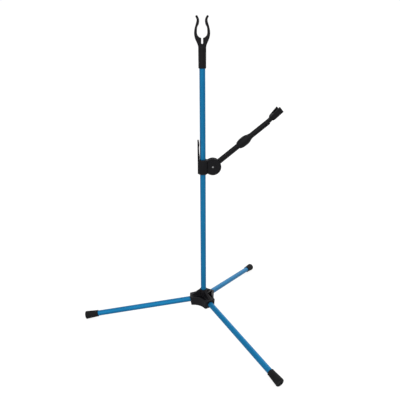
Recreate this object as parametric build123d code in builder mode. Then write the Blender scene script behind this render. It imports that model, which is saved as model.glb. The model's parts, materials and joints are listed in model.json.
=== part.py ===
"""Take-down tripod stand with a spring fork on top and one clamp-on, adjustable support arm.

Millimetres, +Z up. The origin is on the floor, on the axis of the column. The arm reaches towards +X,
and the top fork opens upwards in the XZ plane.
"""

from build123d import *
from math import cos, radians, sin, tan
import os

os.makedirs("parts", exist_ok=True)

# Tubes: the legs and the column share one section
TUBE_R = 12.7 / 2
TUBE_BORE_R = 10.3 / 2
RUNNING = 0.06  # radial clearance of what slides or turns on a shaft or in a bore
FACE_GAP = 0.2  # clearance between flat faces that move on each other

# Legs, which slope down and outwards from the hub
LEG_AZIMUTHS = {"left": 180, "front": -60, "rear": 60}
LEG_SLOPE = 9.3
LEG_AXIS_Z = 55.8  # height where the three leg axes meet the column's axis
LEG_INNER_END = 12.0
LEG_LENGTH = 276.8
FOOT_END = 292.4  # along the leg's axis, to the outer face of the foot
FOOT_LENGTH = 31.0
FOOT_INNER_R = 7.6
FOOT_OUTER_R = 9.5
FOOT_ROUND = 1.8

# Hub
HUB_ARM_WIDTH = 25.4
HUB_ARM_END = 31.8
HUB_SIDE_DIP = 21.8  # from the column's axis to the middle of a concave side
HUB_HALF_HEIGHT = 10.5
HUB_TOP_Z = 77.5
HUB_COLLAR_R = 8.4
HUB_FLOOR = 3.0
HUB_RIM = 2.6
SOCKET_WALL = 2.0  # between a leg's bore and the pockets beside it
POCKET_SIDE = 23.0
RIB_THICKNESS = 5.4
RIB_REACH = 29.5
COLUMN_BOTTOM_Z = 50.0

# Column
COLUMN_JOINT_Z = 381.0
COLUMN_TOP_Z = 619.0
FERRULE_REACH = 30.0  # into each tube
FERRULE_BORE_R = 3.6

# Top fork
SOCKET_BOTTOM_Z = 588.4
SOCKET_TOP_Z = 628.0
SOCKET_R = 8.1
FORK_THICKNESS = 12.0
MOUTH_Z = 658.4
MOUTH_R = 10.6
FORK_TIP_Z = 690.4
RELIEF_HALF = 1.9
RELIEF_BOTTOM_Z = 636.4

# Clamp
CLAMP_BOTTOM_Z = 364.6
CLAMP_TOP_Z = 396.4
CLAMP_R = 11.5
LINER_R = TUBE_R + RUNNING + 0.8
LINER_LIP_R = 8.9
LINER_LIP = 1.2
LINER_RECESS = 0.3  # below the top of the clamp
LINER_SLIT_HALF = 0.6
EAR_HALF = 6.5
LEVER_SLOT_HALF = 3.75
LEVER_PIN_X = -9.4
LEVER_PIN_Z = 369.0
LEVER_PIN_R = 1.2
LEVER_HALF = 5.0
LEVER_OUTER_X = -11.4
LEVER_INNER_X = -7.4
LEVER_TOP_Z = 440.0

# Arm hinge: two round cheeks on the clamp, with the arm's eye between them
HINGE_X = 22.0
HINGE_Z = 379.7
CHEEK_R = 18.7
CHEEK_THICKNESS = 3.8
CHEEK_BEVEL = 1.0
CHEEK_GROOVE_R = 15.0
CHEEK_GROOVE_DEPTH = 0.6
ARM_Y = 4.0  # the arm's plane, a little behind the column's axis
EYE_GAP = 8.0
WASHER_THICKNESS = 0.8
WASHER_R = 7.5
EYE_THICKNESS = 6.2
EYE_R = 9.0
BOLT_R = 2.0
BOLT_HEAD_R = 3.6
BOLT_HEAD = 3.6
NUT_ACROSS = 7.0
NUT_DEPTH = 2.4

# Arm, measured along its axis from the hinge
ARM_ANGLE = 39.2
ROD_R = 6.1
GROOVE_WIDTH = 3.8
GROOVE_REACH = 1.3  # inwards from the rod's outermost line
ROD_START = 19.4
COLLAR_START = 72.0
COLLAR_LENGTH = 36.0
COLLAR_WALL = 2.8  # thickness of the collar's mouth, which the swivel head bears on
COLLAR_BORE_R = 5.4
FORK_PIN_AT = 149.0
SWIVEL_R = 3.0
SWIVEL_DEPTH = 16.0
SWIVEL_HEAD = 2.4

# Arm fork, which tilts on a pin across the end of the arm
FORK_TWIST = 12.5
FORK_TILT = 17.0
TONGUE_HALF = 2.3
TONGUE_R = 5.1
NECK_HALF = 3.6
NECK_THICKNESS = 8.0
ARM_FORK_THICKNESS = 14.8  # at the tips, tapering to its base
ARM_FORK_BASE_THICKNESS = 12.0
ARM_FORK_BASE = 14.6  # from the pin, like the tip
ARM_FORK_TIP = 43.6
ARM_FORK_TIP_HALF = 7.9
ARM_FORK_BASE_HALF = 6.4
ARM_MOUTH_TIP_HALF = 4.8
ARM_MOUTH_HALF = 4.1
ARM_MOUTH_DEPTH = 19.0
FORK_PIN_R = 1.5


def save(builder, name):
    """Label a finished piece and write it as its own file."""
    builder.part.label = name
    export_step(builder.part, f"parts/{name}.step")


def leg_plane(azimuth, distance=0.0):
    """A plane across a leg's axis, its normal pointing outwards and its local Y upwards."""
    along = Vector(cos(radians(LEG_SLOPE)), 0, -sin(radians(LEG_SLOPE))).rotate(Axis.Z, azimuth)
    across = Vector(0, 1, 0).rotate(Axis.Z, azimuth)
    return Plane(origin=Vector(0, 0, LEG_AXIS_Z) + along * distance, x_dir=across, z_dir=along)


def hinge_plane(y):
    """A plane across the hinge's axis at depth y, its normal towards -Y and its local Y upwards."""
    return Plane(origin=(HINGE_X, y, HINGE_Z), x_dir=(1, 0, 0), z_dir=(0, -1, 0))


HINGE_CENTRE = Vector(HINGE_X, ARM_Y, HINGE_Z)
ARM_DIR = Vector(cos(radians(ARM_ANGLE)), 0, sin(radians(ARM_ANGLE)))
ARM_UP = Vector(-sin(radians(ARM_ANGLE)), 0, cos(radians(ARM_ANGLE)))
PIN_CENTRE = HINGE_CENTRE + ARM_DIR * FORK_PIN_AT
PIN_DIR = ARM_UP.rotate(Axis((0, 0, 0), ARM_DIR), FORK_TWIST)
FORK_DIR = ARM_DIR.rotate(Axis((0, 0, 0), PIN_DIR), FORK_TILT)


def arm_plane(distance):
    """A plane across the arm's axis; its local X is world Y and its local Y points up across the arm."""
    return Plane(origin=HINGE_CENTRE + ARM_DIR * distance, x_dir=(0, 1, 0), z_dir=ARM_DIR)


def pin_plane(along):
    """The plane through the fork pin's centre, square to the pin, with its local X running that way."""
    return Plane(origin=PIN_CENTRE, x_dir=along, z_dir=PIN_DIR)


# ---------------------------------------------------------------- legs and feet
def make_leg(side, azimuth):
    with BuildPart() as leg:
        with BuildSketch(leg_plane(azimuth, LEG_INNER_END)):
            Circle(TUBE_R)
            Circle(TUBE_BORE_R, mode=Mode.SUBTRACT)
        extrude(amount=LEG_LENGTH)
        rims = leg.edges().filter_by(GeomType.CIRCLE).filter_by(lambda rim: rim.radius > TUBE_BORE_R + 0.1)
        chamfer(rims, 0.3)
    save(leg, f"leg_tube_{side}")


def make_foot(side, azimuth):
    """A flared rubber cap, with a small flat where it meets the floor."""
    across = leg_plane(azimuth)
    section = Plane(origin=across.origin, x_dir=across.y_dir, z_dir=across.x_dir)
    mouth = FOOT_END - FOOT_LENGTH
    tube_end = LEG_INNER_END + LEG_LENGTH
    with BuildPart() as foot:
        with BuildSketch(section):
            with BuildLine():
                Polyline(
                    (0, tube_end),
                    (TUBE_R, tube_end),
                    (TUBE_R, mouth),
                    (FOOT_INNER_R, mouth),
                    (FOOT_OUTER_R, FOOT_END - FOOT_ROUND),
                )
                RadiusArc(
                    (FOOT_OUTER_R, FOOT_END - FOOT_ROUND),
                    (FOOT_OUTER_R - FOOT_ROUND, FOOT_END),
                    -FOOT_ROUND,
                )
                Polyline((FOOT_OUTER_R - FOOT_ROUND, FOOT_END), (0, FOOT_END), (0, tube_end))
            make_face()
        revolve(axis=Axis(across.origin, across.z_dir))
        split(bisect_by=Plane.XY, keep=Keep.TOP)
    save(foot, f"foot_{side}")


for side, azimuth in LEG_AZIMUTHS.items():
    make_leg(side, azimuth)
    make_foot(side, azimuth)

# ---------------------------------------------------------------- hub
hub_reach = HUB_ARM_END + 6
arm_half = HUB_ARM_WIDTH / 2
slab_r = 60.0
slab_drop = slab_r * tan(radians(LEG_SLOPE))
# a concave side is an arc from one arm's corner to the next: half its chord, how deep it is, its radius
side_chord = hub_reach * sin(radians(60)) - arm_half / 2
side_depth = hub_reach / 2 + arm_half * sin(radians(60)) - HUB_SIDE_DIP
side_r = (side_chord**2 + side_depth**2) / (2 * side_depth)
pocket_start = (TUBE_R + RUNNING + SOCKET_WALL) / sin(radians(60))
with BuildPart() as hub:
    # three arms in plan, joined by concave sides
    with BuildSketch(Plane.XY.offset(LEG_AXIS_Z - 2 * HUB_HALF_HEIGHT)):
        with BuildLine():
            for azimuth in LEG_AZIMUTHS.values():
                first = Vector(hub_reach, -arm_half, 0).rotate(Axis.Z, azimuth)
                second = Vector(hub_reach, arm_half, 0).rotate(Axis.Z, azimuth)
                dip = Vector(HUB_SIDE_DIP, 0, 0).rotate(Axis.Z, azimuth + 60)
                following = Vector(hub_reach, -arm_half, 0).rotate(Axis.Z, azimuth + 120)
                Line(first, second)
                ThreePointArc(second, dip, following)
        make_face()
    extrude(amount=4 * HUB_HALF_HEIGHT)
    # top and bottom fall away outwards with the slope of the legs
    with BuildSketch(Plane.XZ):
        with BuildLine():
            Polyline(
                (0, LEG_AXIS_Z - HUB_HALF_HEIGHT),
                (slab_r, LEG_AXIS_Z - HUB_HALF_HEIGHT - slab_drop),
                (slab_r, LEG_AXIS_Z + HUB_HALF_HEIGHT - slab_drop),
                (0, LEG_AXIS_Z + HUB_HALF_HEIGHT),
                close=True,
            )
        make_face()
    revolve(axis=Axis.Z, mode=Mode.INTERSECT)
    for azimuth in LEG_AZIMUTHS.values():
        with BuildSketch(leg_plane(azimuth, HUB_ARM_END)):
            Rectangle(4 * arm_half, 4 * arm_half)
        extrude(amount=2 * arm_half, mode=Mode.SUBTRACT)
    end_z = LEG_AXIS_Z - HUB_ARM_END * sin(radians(LEG_SLOPE))
    fillet(hub.edges().filter_by(lambda edge: abs(edge.center().Z - end_z) < 1), 3.0)
    fillet(hub.edges(), 1.0)
    # open pockets on top, between the arms, each with a rim along its concave side
    pocket_floor = Plane.XY.offset(LEG_AXIS_Z - HUB_HALF_HEIGHT + HUB_FLOOR)
    for azimuth in LEG_AZIMUTHS.values():
        with BuildSketch(pocket_floor.rotated((0, 0, azimuth + 60))):
            with BuildLine():
                Polyline(
                    (pocket_start, 0),
                    (pocket_start + POCKET_SIDE / 2, -POCKET_SIDE * sin(radians(60))),
                    (pocket_start + POCKET_SIDE / 2, POCKET_SIDE * sin(radians(60))),
                    close=True,
                )
            make_face()
            with Locations((HUB_SIDE_DIP + side_r, 0)):
                Circle(side_r + HUB_RIM, mode=Mode.SUBTRACT)
        extrude(amount=3 * HUB_HALF_HEIGHT, mode=Mode.SUBTRACT)
    # column socket and its three gussets
    with BuildSketch(Plane.XY.offset(COLUMN_BOTTOM_Z - HUB_FLOOR)):
        Circle(HUB_COLLAR_R)
    extrude(amount=HUB_TOP_Z - COLUMN_BOTTOM_Z + HUB_FLOOR)
    rib_foot_z = LEG_AXIS_Z + HUB_HALF_HEIGHT - RIB_REACH * tan(radians(LEG_SLOPE))
    for azimuth in LEG_AZIMUTHS.values():
        with BuildSketch(Plane.XZ.rotated((0, 0, azimuth))):
            with BuildLine():
                Polyline(
                    (0, LEG_AXIS_Z),
                    (RIB_REACH - 4, rib_foot_z - 2),
                    (RIB_REACH, rib_foot_z),
                    (HUB_COLLAR_R, HUB_TOP_Z - 0.8),
                    (0, HUB_TOP_Z - 0.8),
                    close=True,
                )
            make_face()
        extrude(amount=RIB_THICKNESS / 2, both=True)
    # bores for the column and the legs
    with BuildSketch(Plane.XY.offset(COLUMN_BOTTOM_Z)):
        Circle(TUBE_R + RUNNING)
    extrude(amount=HUB_TOP_Z, mode=Mode.SUBTRACT)
    for azimuth in LEG_AZIMUTHS.values():
        with BuildSketch(leg_plane(azimuth, LEG_INNER_END)):
            Circle(TUBE_R + RUNNING)
        extrude(amount=2 * HUB_ARM_END, mode=Mode.SUBTRACT)
save(hub, "hub")

# ---------------------------------------------------------------- column
with BuildPart() as column_lower_tube:
    with BuildSketch(Plane.XY.offset(COLUMN_BOTTOM_Z)):
        Circle(TUBE_R)
        Circle(TUBE_BORE_R, mode=Mode.SUBTRACT)
    extrude(amount=COLUMN_JOINT_Z - COLUMN_BOTTOM_Z)
save(column_lower_tube, "column_lower_tube")

# a spigot pressed into the lower tube, over which the upper tube slides
with BuildPart() as column_ferrule:
    with BuildSketch(Plane.XY.offset(COLUMN_JOINT_Z - FERRULE_REACH)):
        Circle(TUBE_BORE_R)
        Circle(FERRULE_BORE_R, mode=Mode.SUBTRACT)
    extrude(amount=FERRULE_REACH)
    with BuildSketch(Plane.XY.offset(COLUMN_JOINT_Z)):
        Circle(TUBE_BORE_R - RUNNING)
        Circle(FERRULE_BORE_R, mode=Mode.SUBTRACT)
    extrude(amount=FERRULE_REACH)
    chamfer(column_ferrule.faces().sort_by(Axis.Z)[-1].outer_wire().edges(), 0.8)
save(column_ferrule, "column_ferrule")

with BuildPart() as column_upper_tube:
    with BuildSketch(Plane.XY.offset(COLUMN_JOINT_Z)):
        Circle(TUBE_R)
        Circle(TUBE_BORE_R, mode=Mode.SUBTRACT)
    extrude(amount=COLUMN_TOP_Z - COLUMN_JOINT_Z)
save(column_upper_tube, "column_upper_tube")

# ---------------------------------------------------------------- top fork
with BuildPart() as top_fork:
    with BuildSketch(Plane.XZ):
        with BuildLine():
            Polyline((0, SOCKET_TOP_Z - 8), (SOCKET_R - 0.1, SOCKET_TOP_Z - 8), (SOCKET_R - 0.1, SOCKET_TOP_Z))
            # outside of a prong, up from the socket and out to the flared tip
            Spline(
                (SOCKET_R - 0.1, SOCKET_TOP_Z),
                (9.4, 635.5),
                (14.0, 645.8),
                (16.1, 656.0),
                (13.0, 673.0),
                (10.9, 681.0),
                (13.3, 688.0),
                tangents=((0, 1), (0.7, 1)),
            )
            ThreePointArc((13.3, 688.0), (11.4, FORK_TIP_Z), (8.8, 689.0))
            # inside, from the tip past the throat into the round mouth
            Spline(
                (8.8, 689.0),
                (5.9, 681.4),
                (7.3, 673.0),
                (MOUTH_R, MOUTH_Z),
                tangents=((-0.6, -1), (0, -1)),
            )
            slot_rise = MOUTH_Z - (MOUTH_R**2 - RELIEF_HALF**2) ** 0.5
            ThreePointArc(
                (MOUTH_R, MOUTH_Z),
                (MOUTH_R * cos(radians(40)), MOUTH_Z - MOUTH_R * sin(radians(40))),
                (RELIEF_HALF, slot_rise),
            )
            Line((RELIEF_HALF, slot_rise), (RELIEF_HALF, RELIEF_BOTTOM_Z + RELIEF_HALF))
            ThreePointArc(
                (RELIEF_HALF, RELIEF_BOTTOM_Z + RELIEF_HALF),
                (RELIEF_HALF * cos(radians(45)), RELIEF_BOTTOM_Z + RELIEF_HALF * (1 - sin(radians(45)))),
                (0, RELIEF_BOTTOM_Z),
            )
            mirror(about=Plane.YZ)
        make_face()
    extrude(amount=FORK_THICKNESS / 2, both=True)
    prong_edges = top_fork.edges().filter_by(lambda edge: edge.center().Z > SOCKET_TOP_Z)
    fillet(prong_edges.filter_by(lambda edge: abs(abs(edge.center().Y) - FORK_THICKNESS / 2) < 0.01), 1.0)
    # round socket, sloped off at the top where it meets the flat fork
    with BuildSketch(Plane.XZ):
        with BuildLine():
            Polyline(
                (0, SOCKET_BOTTOM_Z),
                (SOCKET_R - 0.8, SOCKET_BOTTOM_Z),
                (SOCKET_R, SOCKET_BOTTOM_Z + 0.8),
                (SOCKET_R, SOCKET_TOP_Z),
                (SOCKET_R - 2.6, SOCKET_TOP_Z + 4.5),
                (0, SOCKET_TOP_Z + 4.5),
                close=True,
            )
        make_face()
    revolve(axis=Axis.Z)
    with BuildSketch(Plane.XY.offset(SOCKET_BOTTOM_Z)):
        Circle(TUBE_R + RUNNING)
    extrude(amount=COLUMN_TOP_Z + FACE_GAP - SOCKET_BOTTOM_Z, mode=Mode.SUBTRACT)
save(top_fork, "top_fork")

# ---------------------------------------------------------------- clamp
clamp_height = CLAMP_TOP_Z - CLAMP_BOTTOM_Z
with BuildPart() as clamp_body:
    with BuildSketch(Plane.XY.offset(CLAMP_BOTTOM_Z)):
        Circle(CLAMP_R)
    extrude(amount=clamp_height)
    chamfer(clamp_body.edges().group_by(Axis.Z)[-1], 1.6)
    chamfer(clamp_body.edges().group_by(Axis.Z)[0], 0.6)
    # ears for the lever's pin
    with BuildSketch(Plane.XY.offset(CLAMP_BOTTOM_Z + 0.6)):
        with Locations(((LEVER_OUTER_X - LINER_R) / 2, 0)):
            Rectangle(-LEVER_OUTER_X - LINER_R, 2 * EAR_HALF)
    extrude(amount=clamp_height - 2.2)
    fillet(clamp_body.edges().filter_by(Axis.Z).group_by(Axis.X)[0], 1.6)
    # the two cheeks of the arm's hinge, each with a bevelled rim and a ring groove outside
    for inner_y, outwards in ((0.0, -1), (EYE_GAP, 1)):
        outer_y = inner_y + outwards * CHEEK_THICKNESS
        groove_y = outer_y - outwards * CHEEK_GROOVE_DEPTH
        with BuildSketch(Plane((HINGE_X, 0, HINGE_Z))):
            with BuildLine():
                Polyline(
                    (0, inner_y),
                    (CHEEK_R, inner_y),
                    (CHEEK_R, outer_y - outwards * CHEEK_BEVEL),
                    (CHEEK_R - CHEEK_BEVEL, outer_y),
                    (CHEEK_GROOVE_R + 0.7, outer_y),
                    (CHEEK_GROOVE_R + 0.7, groove_y),
                    (CHEEK_GROOVE_R - 0.7, groove_y),
                    (CHEEK_GROOVE_R - 0.7, outer_y),
                    (0, outer_y),
                    close=True,
                )
            make_face()
        revolve(axis=Axis((HINGE_X, 0, HINGE_Z), (0, 1, 0)))
    # the wall that ties the cheeks to the collar
    with BuildSketch(Plane.XY.offset(CLAMP_BOTTOM_Z + 0.6)):
        with Locations((8.0, ARM_Y)):
            Rectangle(7.8, EYE_GAP + 2 * CHEEK_THICKNESS)
    extrude(amount=clamp_height - 2.2)
    # hole for the bolt, with a hexagonal seat for its nut inside the front cheek
    with BuildSketch(hinge_plane(EYE_GAP + CHEEK_THICKNESS)):
        Circle(BOLT_R)
    extrude(amount=EYE_GAP + 2 * CHEEK_THICKNESS, mode=Mode.SUBTRACT)
    with BuildSketch(hinge_plane(0)):
        RegularPolygon(NUT_ACROSS / 2, 6, major_radius=False)
    extrude(amount=NUT_DEPTH, mode=Mode.SUBTRACT)
    # bore, the slot that the lever closes, and the hole for its pin
    with BuildSketch(Plane.XY.offset(CLAMP_BOTTOM_Z)):
        Circle(LINER_R + RUNNING)
        with Locations((-CLAMP_R, 0)):
            Rectangle(2 * (CLAMP_R - LINER_R + 1.5), 2 * LEVER_SLOT_HALF)
    extrude(amount=clamp_height, mode=Mode.SUBTRACT)
    with BuildSketch(Plane.XZ):
        with Locations((LEVER_PIN_X, LEVER_PIN_Z)):
            Circle(LEVER_PIN_R)
    extrude(amount=EAR_HALF, both=True, mode=Mode.SUBTRACT)
save(clamp_body, "clamp_body")

# a split plastic sleeve between the clamp and the tube, with a lip that the clamp stands on
with BuildPart() as clamp_liner:
    with BuildSketch(Plane.XY.offset(CLAMP_BOTTOM_Z - FACE_GAP)):
        Circle(LINER_R)
    extrude(amount=clamp_height + FACE_GAP - LINER_RECESS)
    with BuildSketch(Plane.XY.offset(CLAMP_BOTTOM_Z - FACE_GAP)):
        Circle(LINER_LIP_R)
    extrude(amount=-LINER_LIP)
    with BuildSketch(Plane.XY.offset(CLAMP_BOTTOM_Z - clamp_height)):
        Circle(TUBE_R + RUNNING)
        with Locations((0, LINER_LIP_R)):
            Rectangle(2 * LINER_SLIT_HALF, 2 * LINER_LIP_R)
    extrude(amount=3 * clamp_height, mode=Mode.SUBTRACT)
save(clamp_liner, "clamp_liner")

# the lever stands beside the tube when closed; its round foot is the cam
with BuildPart() as cam_lever:
    with BuildSketch(Plane.XZ):
        with BuildLine():
            Line((LEVER_INNER_X, LEVER_PIN_Z), (LEVER_INNER_X, CLAMP_TOP_Z + 0.2))
            # above the clamp it fills out towards the tube, then leaves a finger's gap
            Spline(
                (LEVER_INNER_X, CLAMP_TOP_Z + 0.2),
                (-6.75, 400.0),
                (-6.85, 404.5),
                (-7.6, 412.0),
                (-7.8, 426.0),
                (-8.4, LEVER_TOP_Z - 1.0),
                tangents=((0, 1), (-0.15, 1)),
            )
            ThreePointArc((-8.4, LEVER_TOP_Z - 1.0), (-10.0, LEVER_TOP_Z), (-11.7, LEVER_TOP_Z - 1.2))
            Spline(
                (-11.7, LEVER_TOP_Z - 1.2),
                (LEVER_OUTER_X, LEVER_TOP_Z - 12),
                tangents=((0.1, -1), (0, -1)),
            )
            Line((LEVER_OUTER_X, LEVER_TOP_Z - 12), (LEVER_OUTER_X, LEVER_PIN_Z))
            ThreePointArc(
                (LEVER_OUTER_X, LEVER_PIN_Z),
                (LEVER_PIN_X, LEVER_PIN_Z + LEVER_OUTER_X - LEVER_PIN_X),
                (LEVER_INNER_X, LEVER_PIN_Z),
            )
        make_face()
    extrude(amount=LEVER_HALF, both=True)
    fillet(cam_lever.edges().filter_by(lambda edge: abs(abs(edge.center().Y) - LEVER_HALF) < 0.01), 0.7)
    # narrower where it lies between the ears
    with BuildSketch(Plane.XY.offset(LEVER_PIN_Z - 6)):
        with GridLocations(0, 4 * LEVER_HALF, 1, 2):
            Rectangle(40, 2 * (2 * LEVER_HALF - LEVER_SLOT_HALF + FACE_GAP))
    extrude(amount=CLAMP_TOP_Z + 2.4 - LEVER_PIN_Z + 6, mode=Mode.SUBTRACT)
    with BuildSketch(Plane.XZ):
        with Locations((LEVER_PIN_X, LEVER_PIN_Z)):
            Circle(LEVER_PIN_R + RUNNING)
    extrude(amount=LEVER_HALF, both=True, mode=Mode.SUBTRACT)
save(cam_lever, "cam_lever")

with BuildPart() as lever_pin:
    with BuildSketch(Plane.XZ):
        with Locations((LEVER_PIN_X, LEVER_PIN_Z)):
            Circle(LEVER_PIN_R)
    extrude(amount=EAR_HALF - 0.5, both=True)
save(lever_pin, "lever_pin")

# ---------------------------------------------------------------- hinge hardware
with BuildPart() as hinge_bolt:
    with BuildSketch(hinge_plane(EYE_GAP + CHEEK_THICKNESS + 1.0)):
        Circle(BOLT_R)
    extrude(amount=EYE_GAP + 2 * CHEEK_THICKNESS + 1.6)
    chamfer(hinge_bolt.edges().group_by(Axis.Y)[0], 0.5)
    with BuildSketch(hinge_plane(EYE_GAP + CHEEK_THICKNESS + 1.0 + BOLT_HEAD)):
        Circle(BOLT_HEAD_R)
    extrude(amount=BOLT_HEAD)
    fillet(hinge_bolt.edges().group_by(Axis.Y)[-1], 0.6)
    with BuildSketch(hinge_plane(EYE_GAP + CHEEK_THICKNESS + 1.0 + BOLT_HEAD)):
        RegularPolygon(1.5, 6, major_radius=False)
    extrude(amount=2.2, mode=Mode.SUBTRACT)
save(hinge_bolt, "hinge_bolt")

with BuildPart() as bolt_washer:
    with BuildSketch(hinge_plane(EYE_GAP + CHEEK_THICKNESS + 1.0)):
        Circle(4.6)
        Circle(BOLT_R, mode=Mode.SUBTRACT)
    extrude(amount=1.0)
save(bolt_washer, "bolt_washer")

with BuildPart() as hinge_nut:
    with BuildSketch(hinge_plane(0)):
        RegularPolygon(NUT_ACROSS / 2, 6, major_radius=False)
        Circle(BOLT_R, mode=Mode.SUBTRACT)
    extrude(amount=NUT_DEPTH)
save(hinge_nut, "hinge_nut")

with BuildPart() as friction_washers:
    for rear_face in (WASHER_THICKNESS, EYE_GAP):
        with BuildSketch(hinge_plane(rear_face)):
            Circle(WASHER_R)
            Circle(BOLT_R, mode=Mode.SUBTRACT)
        extrude(amount=WASHER_THICKNESS)
save(friction_washers, "friction_washers")

# ---------------------------------------------------------------- inner arm
groove_middle = (ROD_START + COLLAR_START) / 2
outer_groove_start = COLLAR_START + COLLAR_LENGTH + 3
outer_groove_end = FORK_PIN_AT - TONGUE_R - 3
with BuildPart() as arm_inner_rod:
    with BuildSketch(hinge_plane(ARM_Y)):
        Circle(EYE_R)
        with Locations(Location((0, 0, 0), (0, 0, ARM_ANGLE))):
            with Locations(((ROD_START + 2) / 2, 0)):
                Rectangle(ROD_START + 2, 11.0)
    extrude(amount=EYE_THICKNESS / 2, both=True)
    with BuildSketch(arm_plane(ROD_START)):
        Circle(ROD_R)
    extrude(amount=COLLAR_START - FACE_GAP - ROD_START)
    # a shallow groove along the front and the back of the rod
    for side in (-1, 1):
        with BuildSketch(hinge_plane(ARM_Y + side * ROD_R)):
            with Locations(Location((0, 0, 0), (0, 0, ARM_ANGLE))):
                with Locations((groove_middle, 0)):
                    SlotOverall(COLLAR_START - ROD_START - 6, GROOVE_WIDTH)
        extrude(amount=side * GROOVE_REACH, mode=Mode.SUBTRACT)
    with BuildSketch(hinge_plane(ARM_Y)):
        Circle(BOLT_R + RUNNING)
    extrude(amount=EYE_THICKNESS, both=True, mode=Mode.SUBTRACT)
    with BuildSketch(arm_plane(COLLAR_START - SWIVEL_DEPTH)):
        Circle(SWIVEL_R)
    extrude(amount=SWIVEL_DEPTH, mode=Mode.SUBTRACT)
save(arm_inner_rod, "arm_inner_rod")

# the headed pin pressed into the inner rod, on which the outer arm turns
head_start = COLLAR_START + COLLAR_WALL + FACE_GAP / 2
with BuildPart() as swivel_pin:
    with BuildSketch(arm_plane(COLLAR_START - SWIVEL_DEPTH)):
        Circle(SWIVEL_R)
    extrude(amount=head_start + SWIVEL_HEAD - COLLAR_START + SWIVEL_DEPTH)
    with BuildSketch(arm_plane(head_start)):
        Circle(COLLAR_BORE_R - 0.3)
    extrude(amount=SWIVEL_HEAD)
save(swivel_pin, "swivel_pin")

# ---------------------------------------------------------------- outer arm
spigot_start = head_start + SWIVEL_HEAD + FACE_GAP / 2
collar_end = COLLAR_START + COLLAR_LENGTH
with BuildPart() as arm_collar:
    with BuildSketch(Plane(origin=HINGE_CENTRE, x_dir=ARM_UP, z_dir=(0, 1, 0))):
        with BuildLine():
            Line((SWIVEL_R + RUNNING, COLLAR_START), (7.4, COLLAR_START))
            Spline(
                (7.4, COLLAR_START),
                (9.5, COLLAR_START + 6),
                (10.4, COLLAR_START + 15),
                (9.5, COLLAR_START + 24.5),
                (ROD_R + 0.1, collar_end),
                tangents=((0.5, 1), (-0.1, 1)),
            )
            Polyline(
                (ROD_R + 0.1, collar_end),
                (COLLAR_BORE_R, collar_end),
                (COLLAR_BORE_R, COLLAR_START + COLLAR_WALL),
                (SWIVEL_R + RUNNING, COLLAR_START + COLLAR_WALL),
                (SWIVEL_R + RUNNING, COLLAR_START),
            )
        make_face()
    revolve(axis=Axis(HINGE_CENTRE, ARM_DIR))
save(arm_collar, "arm_collar")

with BuildPart() as arm_outer_rod:
    with BuildSketch(arm_plane(spigot_start)):
        Circle(COLLAR_BORE_R)
    extrude(amount=collar_end - spigot_start)
    with BuildSketch(arm_plane(collar_end)):
        Circle(ROD_R)
    extrude(amount=FORK_PIN_AT + ROD_R - collar_end)
    # the end is rounded about the fork's pin and slotted for its tongue
    with BuildSketch(pin_plane(ARM_DIR)):
        with Locations((ROD_R, 0)):
            Rectangle(2 * ROD_R, 4 * ROD_R)
        Circle(ROD_R, mode=Mode.SUBTRACT)
    extrude(amount=2 * ROD_R, both=True, mode=Mode.SUBTRACT)
    with BuildSketch(pin_plane(ARM_DIR)):
        Circle(TONGUE_R + 0.4)
        with Locations((ROD_R - 4.0, 0)):
            Rectangle(2 * ROD_R, 4 * ROD_R)
    extrude(amount=TONGUE_HALF + FACE_GAP, both=True, mode=Mode.SUBTRACT)
    with BuildSketch(pin_plane(ARM_DIR)):
        Circle(FORK_PIN_R)
    extrude(amount=2 * ROD_R, both=True, mode=Mode.SUBTRACT)
    # grooves along its front and back, like the inner rod's
    for side in (-1, 1):
        groove_side = ARM_DIR.cross(PIN_DIR) * side
        with BuildSketch(Plane(origin=HINGE_CENTRE + groove_side * ROD_R, x_dir=ARM_DIR, z_dir=groove_side)):
            with Locations(((outer_groove_start + outer_groove_end) / 2, 0)):
                SlotOverall(outer_groove_end - outer_groove_start, GROOVE_WIDTH)
        extrude(amount=-GROOVE_REACH, mode=Mode.SUBTRACT)
save(arm_outer_rod, "arm_outer_rod")

with BuildPart() as fork_pin:
    with BuildSketch(pin_plane(ARM_DIR)):
        Circle(FORK_PIN_R)
    extrude(amount=ROD_R - 0.25, both=True)
save(fork_pin, "fork_pin")

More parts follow.
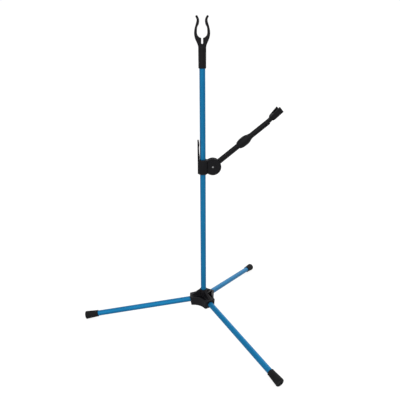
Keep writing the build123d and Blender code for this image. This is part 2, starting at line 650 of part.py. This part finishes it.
# ---------------------------------------------------------------- arm fork
mouth_floor = ARM_FORK_TIP - ARM_MOUTH_DEPTH
with BuildPart() as arm_fork:
    with BuildSketch(pin_plane(FORK_DIR)) as fork_outline:
        with BuildLine():
            Polyline(
                (ARM_FORK_BASE, 0),
                (ARM_FORK_BASE, NECK_HALF + 0.6),
                (ARM_FORK_BASE + 5.5, ARM_FORK_BASE_HALF),
                (ARM_FORK_TIP, ARM_FORK_TIP_HALF),
                (ARM_FORK_TIP, ARM_MOUTH_TIP_HALF),
                (mouth_floor + ARM_MOUTH_HALF, ARM_MOUTH_HALF),
            )
            RadiusArc(
                (mouth_floor + ARM_MOUTH_HALF, ARM_MOUTH_HALF),
                (mouth_floor, 0),
                -ARM_MOUTH_HALF,
            )
            mirror(about=Plane.XZ)
        make_face()
        outer_corners = fork_outline.vertices().filter_by(lambda corner: abs(corner.Y) > NECK_HALF)
        fillet(outer_corners.filter_by(lambda corner: corner.X < ARM_FORK_TIP - 1), 1.6)
        fillet(fork_outline.vertices().filter_by(lambda corner: corner.X > ARM_FORK_TIP - 1), 0.9)
    extrude(amount=ARM_FORK_THICKNESS / 2, both=True)
    # its two broad faces spread towards the tips
    with BuildSketch(Plane(origin=PIN_CENTRE, x_dir=FORK_DIR, z_dir=FORK_DIR.cross(PIN_DIR))):
        with BuildLine():
            Polyline(
                (ARM_FORK_BASE, 0),
                (ARM_FORK_BASE, ARM_FORK_BASE_THICKNESS / 2),
                (ARM_FORK_TIP, ARM_FORK_THICKNESS / 2 - 0.1),
                (ARM_FORK_TIP, 0),
            )
            mirror(about=Plane.XZ)
        make_face()
    extrude(amount=2 * ARM_FORK_TIP_HALF, both=True, mode=Mode.INTERSECT)
    broad_faces = arm_fork.faces().filter_by(lambda face: abs(face.normal_at().dot(PIN_DIR)) > 0.9)
    chamfer(broad_faces.edges(), 0.6)
    # neck, hollowed to clear the rounded end of the arm
    with BuildSketch(pin_plane(FORK_DIR)):
        with Locations((ARM_FORK_BASE - 5.0, 0)):
            Rectangle(13.0, 2 * NECK_HALF)
    extrude(amount=NECK_THICKNESS / 2, both=True)
    with BuildSketch(pin_plane(FORK_DIR)):
        Circle(ROD_R + 0.5)
    extrude(amount=ROD_R, both=True, mode=Mode.SUBTRACT)
    # tongue with the pin's hole
    with BuildSketch(pin_plane(FORK_DIR)):
        Circle(TONGUE_R)
        with Locations((6.0, 0)):
            Rectangle(12.0, 2 * NECK_HALF)
    extrude(amount=TONGUE_HALF, both=True)
    with BuildSketch(pin_plane(FORK_DIR)):
        Circle(FORK_PIN_R + RUNNING)
    extrude(amount=ROD_R, both=True, mode=Mode.SUBTRACT)
save(arm_fork, "arm_fork")
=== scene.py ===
"""Looks for the take-down stand: materials, moulded detail, floor, light and camera around the CAD frame."""

import json
import math

import bmesh
import bpy
from mathutils import Matrix, Vector


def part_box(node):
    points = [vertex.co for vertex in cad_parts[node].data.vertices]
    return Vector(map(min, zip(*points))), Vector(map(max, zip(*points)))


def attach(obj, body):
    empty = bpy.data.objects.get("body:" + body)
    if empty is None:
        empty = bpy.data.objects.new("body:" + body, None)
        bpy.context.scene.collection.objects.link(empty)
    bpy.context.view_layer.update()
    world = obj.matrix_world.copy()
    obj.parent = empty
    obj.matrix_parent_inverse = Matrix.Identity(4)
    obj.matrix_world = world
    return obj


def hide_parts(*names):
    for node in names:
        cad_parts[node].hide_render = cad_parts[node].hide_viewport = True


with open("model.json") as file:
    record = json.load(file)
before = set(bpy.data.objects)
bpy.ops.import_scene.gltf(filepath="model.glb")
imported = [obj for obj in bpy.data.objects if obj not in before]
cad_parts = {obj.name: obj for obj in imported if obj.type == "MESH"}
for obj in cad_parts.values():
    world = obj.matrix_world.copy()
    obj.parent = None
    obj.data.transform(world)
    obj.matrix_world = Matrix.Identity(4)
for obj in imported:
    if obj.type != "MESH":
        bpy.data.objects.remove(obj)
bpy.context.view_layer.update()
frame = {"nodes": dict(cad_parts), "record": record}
nodes = frame["nodes"]

MM = 0.001

# Camera: place in millimetres, then where it looks, in degrees
CAMERA_PLACE = Vector((-16.1, -977.0, 624.7)) * MM
CAMERA_HEADING = 0.546  # from +Y towards +X
CAMERA_PITCH = 18.234  # below the horizon
CAMERA_ROLL = 0.431
CAMERA_LENS = 40.97
CAMERA_SENSOR = 36.0  # wide

# Legs: how far each is turned about the column, and how steeply they all fall outwards, in degrees
LEG_AZIMUTHS = {"left": 180.0, "front": -60.0, "rear": 60.0}
LEG_SLOPE = 9.3

# Rubber feet, in millimetres: a turned outline of (distance from the mouth, radius), with a lip at the
# mouth, a long flare and a hollow in the round end
FOOT_LENGTH = 31.0
FOOT_OUTLINE = (
    (1.2, 0), (1.2, 6.38), (0.25, 6.42), (0.0, 6.65), (0.0, 7.2), (0.12, 7.55), (0.5, 7.84), (1.1, 7.96),
    (1.7, 7.90), (2.2, 7.74), (2.6, 7.70), (3.2, 7.74), (8.0, 8.06), (13.0, 8.40), (18.0, 8.74), (23.0, 9.06),
    (27.2, 9.34), (28.6, 9.42), (29.4, 9.40), (30.1, 9.18), (30.6, 8.78), (30.9, 8.25), (31.0, 7.6),
    (31.0, 5.5), (30.85, 5.25), (30.2, 4.9), (30.0, 4.5), (30.0, 0),
)
FOOT_STEPS = 72
FOOT_SHARP = 50.0  # an edge sharper than this many degrees isn't smoothed

# Parting lines of the moulded pieces: their radius, and how near points count as one point or as on the plane
PARTING_LINE_R = 0.11 * MM
SAME_POINT = 0.002 * MM
ON_PLANE = 0.0001 * MM

# Studio: the floor is mostly its own light, so it stays just white and hardly takes a shadow
FLOOR_HALF = 30.0
FLOOR_GREY = 0.1
FLOOR_GLOW = 0.89
WORLD_LIGHT = 1.0  # on the object
WORLD_SEEN = 1.03  # by the camera
KEY_PLACE, KEY_STRENGTH = (-0.3, -1.0, 0.7), 2.1
BACK_PLACE, BACK_STRENGTH = (0.6, 0.9, 0.9), 1.5
SUN_SPREAD = 80.0  # degrees


# ---------------------------------------------------------------- node helpers
class Shader:
    """A node material under construction, with short ways to add and link its nodes."""

    def __init__(self, name, turns=()):
        """Turns are rotations in degrees that bring the piece's own axes onto X, Y and Z, in order."""
        self.material = bpy.data.materials.new(name)
        self.material.use_nodes = True
        self.tree = self.material.node_tree
        self.bsdf = self.tree.nodes["Principled BSDF"]
        self.place = self.add("ShaderNodeTexCoord").outputs["Object"]
        for turn in turns:
            self.place = self.mapped((1, 1, 1), [math.radians(angle) for angle in turn])

    def add(self, kind, **values):
        """Adds a node. A value goes to the setting of that name, or else to the socket of that name."""
        node = self.tree.nodes.new(kind)
        for key, value in values.items():
            if hasattr(node, key):
                setattr(node, key, value)
            else:
                node.inputs[key.replace("_", " ")].default_value = value
        return node

    def link(self, source, node, socket):
        self.tree.links.new(source, node.inputs[socket])

    def mapped(self, scale, rotation=(0, 0, 0)):
        """The place on the object, stretched or turned before a texture reads it."""
        mapping = self.add("ShaderNodeMapping")
        mapping.inputs["Scale"].default_value = scale
        mapping.inputs["Rotation"].default_value = rotation
        self.link(self.place, mapping, "Vector")
        return mapping.outputs["Vector"]

    def noise(self, scale, detail=3.0, vector=None, roughness=0.55):
        node = self.add("ShaderNodeTexNoise", Scale=scale, Detail=detail, Roughness=roughness)
        self.link(vector or self.place, node, "Vector")
        return node.outputs["Fac"]

    def pits(self, scale, vector=None):
        """Distance to the nearest of many scattered points, for a moulded or cast grain."""
        node = self.add("ShaderNodeTexVoronoi", Scale=scale)
        self.link(vector or self.place, node, "Vector")
        return node.outputs["Distance"]

    def remap(self, source, low, high, to_low, to_high):
        node = self.add("ShaderNodeMapRange")
        for socket, value in zip(("From Min", "From Max", "To Min", "To Max"), (low, high, to_low, to_high)):
            node.inputs[socket].default_value = value
        self.link(source, node, "Value")
        return node.outputs["Result"]

    def maths(self, operation, first, second):
        """Two values combined; the second is another node's value or a plain number."""
        node = self.add("ShaderNodeMath", operation=operation)
        self.link(first, node, 0)
        if isinstance(second, (int, float)):
            node.inputs[1].default_value = second
        else:
            self.link(second, node, 1)
        return node.outputs["Value"]

    def ramp(self, source, *stops):
        node = self.add("ShaderNodeValToRGB")
        elements = node.color_ramp.elements
        while len(elements) < len(stops):
            elements.new(0.5)
        for element, (position, colour) in zip(elements, stops):
            element.position = position
            element.color = (*colour, 1.0)
        self.link(source, node, "Fac")
        return node.outputs["Color"]

    def mix(self, factor, first, second):
        """From the first colour to the second, each a node's colour or a plain one."""
        node = self.add("ShaderNodeMix", data_type="RGBA")
        self.link(factor, node, "Factor")
        for socket, colour in ((6, first), (7, second)):
            if isinstance(colour, tuple):
                node.inputs[socket].default_value = (*colour, 1.0)
            else:
                self.tree.links.new(colour, node.inputs[socket])
        return node.outputs[2]

    def edges(self, radius):
        """The normal with sharp edges rounded off, and their wear: near 1 along them and 0 elsewhere."""
        rounded = self.add("ShaderNodeBevel", samples=6, Radius=radius).outputs["Normal"]
        plain = self.add("ShaderNodeNewGeometry").outputs["Normal"]
        dot = self.add("ShaderNodeVectorMath", operation="DOT_PRODUCT")
        self.link(rounded, dot, 0)
        self.link(plain, dot, 1)
        return rounded, self.remap(dot.outputs["Value"], 0.84, 0.98, 1.0, 0.0)

    def bump(self, height, strength, distance, normal=None):
        node = self.add("ShaderNodeBump", Strength=strength, Distance=distance)
        self.link(height, node, "Height")
        if normal is not None:
            self.link(normal, node, "Normal")
        return node.outputs["Normal"]

    def base(self, **values):
        for key, value in values.items():
            self.bsdf.inputs[key.replace("_", " ")].default_value = value

    def surface(self, colour=None, roughness=None, normal=None):
        for source, socket in ((colour, "Base Color"), (roughness, "Roughness"), (normal, "Normal")):
            if source is not None:
                self.link(source, self.bsdf, socket)
        return self.material


# ---------------------------------------------------------------- materials
def anodised_blue(name, turns, scuffed):
    """Satin blue anodising over a drawn tube, whose axis the turns bring to Z; scuffed is a stretch of Z."""
    shader = Shader(name, turns)
    shader.base(Metallic=0.6, Specular_IOR_Level=0.2)
    clouds = shader.noise(14.0, 2.0)
    lines = shader.noise(1.0, 3.0, shader.mapped((900, 900, 9)))
    etch = shader.noise(5200.0, 2.0)
    rubs = shader.noise(1.0, 2.0, shader.mapped((1400, 1400, 30)))
    along = shader.add("ShaderNodeSeparateXYZ")
    shader.link(shader.place, along, "Vector")
    low, high = scuffed
    middle, half = (low + high) / 2, (high - low) / 2
    away = shader.maths("ABSOLUTE", shader.maths("SUBTRACT", along.outputs["Z"], middle), 0.0)
    used = shader.remap(away, half * 0.7, half, 1.0, 0.0)
    rubbed = shader.maths("MULTIPLY", shader.remap(rubs, 0.56, 0.72, 0.0, 0.5), used)
    colour = shader.ramp(clouds, (0.3, (0.0020, 0.102, 0.230)), (0.7, (0.0030, 0.121, 0.264)))
    colour = shader.mix(rubbed, colour, (0.035, 0.19, 0.34))
    satin = shader.remap(lines, 0.3, 0.7, 0.42, 0.54)
    satin = shader.maths("ADD", satin, shader.remap(etch, 0.35, 0.65, -0.04, 0.04))
    rounded, _ = shader.edges(0.3 * MM)
    normal = shader.bump(lines, 0.10, 0.04 * MM, rounded)
    normal = shader.bump(etch, 0.12, 0.03 * MM, normal)
    return shader.surface(colour, satin, normal)


def black_plastic():
    """Glass-filled black nylon with a moulded grain, polished a little along its edges."""
    shader = Shader("black_plastic")
    shader.base(Specular_IOR_Level=0.09)
    clouds = shader.noise(30.0, 3.0)
    grain = shader.pits(1500.0)
    fine = shader.noise(4200.0, 3.0)
    rounded, worn = shader.edges(0.5 * MM)
    colour = shader.ramp(clouds, (0.3, (0.0030, 0.0028, 0.0036)), (0.7, (0.0046, 0.0043, 0.0054)))
    colour = shader.mix(worn, colour, (0.0105, 0.0105, 0.0115))
    satin = shader.remap(fine, 0.3, 0.7, 0.40, 0.54)
    satin = shader.maths("SUBTRACT", satin, shader.maths("MULTIPLY", worn, 0.10))
    normal = shader.bump(grain, 0.20, 0.08 * MM, rounded)
    normal = shader.bump(fine, 0.15, 0.04 * MM, normal)
    return shader.surface(colour, satin, normal)


def black_rubber():
    """Matt black rubber with a little dust in its grain."""
    shader = Shader("black_rubber")
    shader.base(Specular_IOR_Level=0.08)
    clouds = shader.noise(55.0, 4.0)
    grain = shader.noise(2400.0, 4.0, roughness=0.7)
    rounded, worn = shader.edges(0.6 * MM)
    colour = shader.ramp(clouds, (0.35, (0.0040, 0.0040, 0.0044)), (0.68, (0.0070, 0.0069, 0.0074)))
    colour = shader.mix(worn, colour, (0.013, 0.013, 0.014))
    matt = shader.remap(grain, 0.3, 0.7, 0.62, 0.82)
    normal = shader.bump(grain, 0.35, 0.07 * MM, rounded)
    return shader.surface(colour, matt, normal)


def plated_steel(name, dull, bright, gloss_low, gloss_high):
    """Plated or oxidised steel with fine drawn scratches and a faint mottle between its two colours."""
    shader = Shader(name)
    shader.base(Metallic=1.0)
    clouds = shader.noise(260.0, 3.0)
    scratches = shader.noise(1.0, 3.0, shader.mapped((2600, 220, 2600)))
    rounded, _ = shader.edges(0.2 * MM)
    colour = shader.ramp(clouds, (0.35, dull), (0.65, bright))
    gloss = shader.remap(scratches, 0.3, 0.7, gloss_low, gloss_high)
    normal = shader.bump(scratches, 0.10, 0.03 * MM, rounded)
    return shader.surface(colour, gloss, normal)


def turned_aluminium():
    """Bare aluminium with fine turning rings round the column's axis."""
    shader = Shader("plain_aluminium")
    shader.base(Metallic=1.0)
    clouds = shader.noise(90.0, 3.0)
    rings = shader.noise(1.0, 2.0, shader.mapped((60, 60, 5200)))
    colour = shader.ramp(clouds, (0.3, (0.42, 0.43, 0.45)), (0.7, (0.52, 0.52, 0.53)))
    gloss = shader.remap(rings, 0.3, 0.7, 0.24, 0.44)
    normal = shader.bump(rings, 0.25, 0.05 * MM)
    return shader.surface(colour, gloss, normal)


def smooth_nylon(name, dark, light):
    """Smooth unfilled plastic, slightly waxy, with fine scuffs."""
    shader = Shader(name)
    shader.base(Specular_IOR_Level=0.2)
    clouds = shader.noise(120.0, 3.0)
    scuffs = shader.noise(1.0, 3.0, shader.mapped((300, 300, 3000)))
    rounded, _ = shader.edges(0.3 * MM)
    colour = shader.ramp(clouds, (0.3, dark), (0.7, light))
    waxy = shader.remap(scuffs, 0.3, 0.7, 0.34, 0.50)
    normal = shader.bump(scuffs, 0.12, 0.04 * MM, rounded)
    return shader.surface(colour, waxy, normal)


# The clamp rubs the column near where it stands, and the hub rubs the inner end of each leg
CLAMP_LOW, CLAMP_HIGH = (corner[2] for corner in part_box("clamp_body"))
COLUMN_RUBBED = (CLAMP_LOW - 120 * MM, CLAMP_HIGH + 80 * MM)
LEG_RUBBED = (0.0, 60 * MM)
MATERIALS = {
    "anodised_blue": anodised_blue("anodised_blue", (), COLUMN_RUBBED),
    "black_plastic": black_plastic(),
    "black_rubber": black_rubber(),
    "steel": plated_steel("zinc_steel", (0.20, 0.205, 0.22), (0.27, 0.27, 0.265), 0.34, 0.52),
    "blackened_steel": plated_steel(
        "blackened_steel", (0.012, 0.012, 0.014), (0.022, 0.021, 0.021), 0.36, 0.55
    ),
    "plain_aluminium": turned_aluminium(),
    "dark_nylon": smooth_nylon("liner_nylon", (0.012, 0.012, 0.013), (0.018, 0.018, 0.020)),
    "grey_washer": smooth_nylon("washer_acetal", (0.10, 0.10, 0.105), (0.14, 0.14, 0.14)),
}
LEG_BLUES = {
    side: anodised_blue(f"anodised_blue_{side}", ((0, 0, -azimuth), (0, -90 - LEG_SLOPE, 0)), LEG_RUBBED)
    for side, azimuth in LEG_AZIMUTHS.items()
}
for part in frame["record"]["subparts"]:
    name = part["node"]
    material = MATERIALS[part["material_slot"]]
    if name.startswith("leg_tube_"):
        material = LEG_BLUES[name.removeprefix("leg_tube_")]
    for slot in nodes[name].material_slots:
        slot.material = material

JOINTS = {joint["name"]: joint for joint in frame["record"]["behaviour"]["joints"]}


# ---------------------------------------------------------------- pieces
def add_piece(name, data, body, slot):
    """Links a new piece with the material of its slot and lets it ride on a body."""
    piece = bpy.data.objects.new(name, data)
    bpy.context.scene.collection.objects.link(piece)
    data.materials.append(MATERIALS[slot])
    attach(piece, body)
    return piece


def turned_form(outline, origin, axis, steps):
    """A closed form turned from an outline of (distance along, radius) that starts and ends on the axis."""
    turn = Vector(axis).to_track_quat("Z", "Y")
    form = bmesh.new()
    rings = []
    for distance, radius in outline:
        if radius == 0:
            rings.append([form.verts.new(origin + turn @ Vector((0, 0, distance)))])
            continue
        angles = [math.tau * step / steps for step in range(steps)]
        spots = [Vector((radius * math.cos(angle), radius * math.sin(angle), distance)) for angle in angles]
        rings.append([form.verts.new(origin + turn @ spot) for spot in spots])
    for near, far in zip(rings, rings[1:]):
        for step in range(steps):
            after = (step + 1) % steps
            near_side = [near[step % len(near)], near[after % len(near)]]
            far_side = [far[after % len(far)], far[step % len(far)]]
            form.faces.new(list(dict.fromkeys(near_side + far_side)))
    bmesh.ops.recalc_face_normals(form, faces=form.faces)
    return form


def finished(name, form, sharp):
    """The mesh of a bmesh form, smooth except along edges sharper than so many degrees."""
    for face in form.faces:
        face.smooth = True
    for edge in form.edges:
        edge.smooth = len(edge.link_faces) == 2 and edge.calc_face_angle() < math.radians(sharp)
    mesh = bpy.data.meshes.new(name)
    form.to_mesh(mesh)
    form.free()
    return mesh


def everything(form):
    """All of a bmesh form's elements, as its operators take them."""
    return form.verts[:] + form.edges[:] + form.faces[:]


def make_foot(side):
    """A rubber foot turned about its leg's axis and trimmed level with the floor."""
    axis = Vector(JOINTS[f"leg_{side}_pull"]["axis"]).normalized()
    low, high = map(Vector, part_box(f"leg_tube_{side}"))
    middle = (low + high) / 2
    end = max((vertex.co - middle).dot(axis) for vertex in nodes[f"foot_{side}"].data.vertices)
    outline = [(distance * MM, radius * MM) for distance, radius in FOOT_OUTLINE]
    form = turned_form(outline, middle + axis * (end - FOOT_LENGTH * MM), axis, FOOT_STEPS)
    ground = {"plane_co": (0, 0, 0), "plane_no": (0, 0, 1)}
    cut = bmesh.ops.bisect_plane(form, geom=everything(form), clear_inner=True, **ground)
    rim = [item for item in cut["geom_cut"] if isinstance(item, bmesh.types.BMEdge)]
    bmesh.ops.edgeloop_fill(form, edges=rim)
    name = f"foot_{side}_rubber"
    foot = add_piece(name, finished(name, form, FOOT_SHARP), f"leg_{side}", "black_rubber")
    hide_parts(f"foot_{side}")


def section_runs(node, point, normal, hidden):
    """The lines where a plane cuts a node, less hidden points: each as its points and whether it closes."""
    form = bmesh.new()
    form.from_mesh(nodes[node].data)
    bmesh.ops.remove_doubles(form, verts=form.verts, dist=SAME_POINT)
    plane = {"plane_co": point, "plane_no": normal, "dist": ON_PLANE}
    bmesh.ops.bisect_plane(form, geom=everything(form), clear_inner=True, clear_outer=True, **plane)
    bmesh.ops.delete(form, geom=[vertex for vertex in form.verts if hidden(vertex.co)], context="VERTS")
    runs = []
    left = set(form.verts)
    # Open runs start at their ends, because these have the fewest edges
    for start in sorted(form.verts, key=lambda vertex: (len(vertex.link_edges), vertex.index)):
        if start not in left:
            continue
        run, here = [], start
        while here is not None:
            left.discard(here)
            run.append(here.co.copy())
            beside = [edge.other_vert(here) for edge in here.link_edges]
            here = next((vertex for vertex in beside if vertex in left), None)
        if len(run) > 2:
            closed = any(edge.other_vert(start).co == run[-1] for edge in start.link_edges)
            runs.append((run, closed))
    form.free()
    return runs


def make_parting_line(node, body, point, normal, hidden):
    """The fine raised line that the two halves of a mould leave round a moulded piece."""
    curve = bpy.data.curves.new(f"{node}_parting_line", "CURVE")
    curve.dimensions = "3D"
    curve.bevel_depth = PARTING_LINE_R
    curve.bevel_resolution = 1
    curve.use_fill_caps = True
    for run, closed in section_runs(node, point, normal, hidden):
        spline = curve.splines.new("POLY")
        spline.points.add(len(run) - 1)
        for spot, place in zip(spline.points, run):
            spot.co = (*place, 1.0)
        spline.use_cyclic_u = closed
    add_piece(curve.name, curve, body, "black_plastic")


for side in LEG_AZIMUTHS:
    make_foot(side)

HINGE = Vector(JOINTS["arm_tilt"]["pos_m"])
ARM_AXIS = Vector(JOINTS["arm_twist"]["axis"]).normalized()
PIN = Vector(JOINTS["fork_tilt"]["pos_m"])
PIN_AXIS = Vector(JOINTS["fork_tilt"]["axis"]).normalized()
SIDEWAYS = Vector((0, 1, 0))
ARM_SIDE = ARM_AXIS.cross(PIN_AXIS)
SOCKET_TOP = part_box("column_upper_tube")[1][2] + 1 * MM


def off_arm(place):
    """How far a place is from the arm's axis."""
    return (place - HINGE).cross(ARM_AXIS).length


# What a line leaves out, where its plane cuts the piece inside or at a joint
def in_fork_socket(place):
    return place.z < SOCKET_TOP and abs(place.x) < 7.4 * MM


def in_clamp(place):
    return place.z < CLAMP_HIGH


def in_hinge_or_swivel(place):
    return (place - HINGE).length < 20 * MM or off_arm(place) < 5.6 * MM


def in_collar_bore(place):
    return off_arm(place) < 6.15 * MM


def in_outer_rod(place):
    return off_arm(place) < 5.9 * MM


def in_fork_eye(place):
    return (place - PIN).dot(ARM_AXIS) < 9 * MM


make_parting_line("top_fork", "top_fork", Vector(), SIDEWAYS, in_fork_socket)
make_parting_line("cam_lever", "cam_lever", Vector(), SIDEWAYS, in_clamp)
make_parting_line("arm_inner_rod", "arm_inner", HINGE, SIDEWAYS, in_hinge_or_swivel)
make_parting_line("arm_collar", "arm_outer", HINGE, SIDEWAYS, in_collar_bore)
make_parting_line("arm_outer_rod", "arm_outer", HINGE, ARM_SIDE, in_outer_rod)
make_parting_line("arm_fork", "arm_fork", PIN, PIN_AXIS, in_fork_eye)


# ---------------------------------------------------------------- floor, light and camera
def make_floor():
    floor_mesh = bpy.data.meshes.new("floor")
    corners = [(x * FLOOR_HALF, y * FLOOR_HALF, 0) for x, y in ((-1, -1), (1, -1), (1, 1), (-1, 1))]
    floor_mesh.from_pydata(corners, [], [(0, 1, 2, 3)])
    floor = bpy.data.objects.new("floor", floor_mesh)
    bpy.context.scene.collection.objects.link(floor)
    shader = Shader("pale_floor")
    shader.base(Base_Color=(*[FLOOR_GREY] * 3, 1.0), Roughness=0.9, Specular_IOR_Level=0.2)
    shader.base(Emission_Color=(1.0, 1.0, 1.0, 1.0), Emission_Strength=FLOOR_GLOW)
    floor_mesh.materials.append(shader.material)


def make_sun(name, place, strength):
    """A very wide sun: a soft light from one side that is as strong everywhere on the floor."""
    light = bpy.data.lights.new(name, "SUN")
    light.energy = strength
    light.angle = math.radians(SUN_SPREAD)
    sun = bpy.data.objects.new(name, light)
    sun.location = place
    sun.rotation_mode = "QUATERNION"
    sun.rotation_quaternion = (-Vector(place)).to_track_quat("-Z", "Y")
    bpy.context.scene.collection.objects.link(sun)


def make_camera():
    heading, pitch, roll = (math.radians(a) for a in (CAMERA_HEADING, CAMERA_PITCH, CAMERA_ROLL))
    across = math.cos(pitch)
    ahead = Vector((math.sin(heading) * across, math.cos(heading) * across, -math.sin(pitch)))
    level = Vector((math.cos(heading), -math.sin(heading), 0))
    upright = level.cross(ahead)
    right = level * math.cos(roll) - upright * math.sin(roll)
    up = upright * math.cos(roll) + level * math.sin(roll)
    data = bpy.data.cameras.new("camera")
    data.lens = CAMERA_LENS
    data.sensor_width = CAMERA_SENSOR
    data.clip_start, data.clip_end = 0.01, 100.0
    camera = bpy.data.objects.new("camera", data)
    camera.matrix_world = Matrix.Translation(CAMERA_PLACE) @ Matrix((right, up, -ahead)).transposed().to_4x4()
    bpy.context.scene.collection.objects.link(camera)
    bpy.context.scene.camera = camera


def make_world():
    """A white studio all round, a touch brighter to the camera than to the object, so it shows pure white."""
    world = bpy.data.worlds.new("studio")
    world.use_nodes = True
    tree = world.node_tree
    background = tree.nodes["Background"]
    background.inputs["Color"].default_value = (1.0, 1.0, 1.0, 1.0)
    seen = tree.nodes.new("ShaderNodeLightPath")
    strength = tree.nodes.new("ShaderNodeMapRange")
    strength.inputs["To Min"].default_value = WORLD_LIGHT
    strength.inputs["To Max"].default_value = WORLD_SEEN
    tree.links.new(seen.outputs["Is Camera Ray"], strength.inputs["Value"])
    tree.links.new(strength.outputs["Result"], background.inputs["Strength"])
    bpy.context.scene.world = world


make_floor()
make_sun("key", KEY_PLACE, KEY_STRENGTH)
make_sun("back", BACK_PLACE, BACK_STRENGTH)
make_camera()
make_world()
bpy.context.scene.view_settings.view_transform = "Standard"
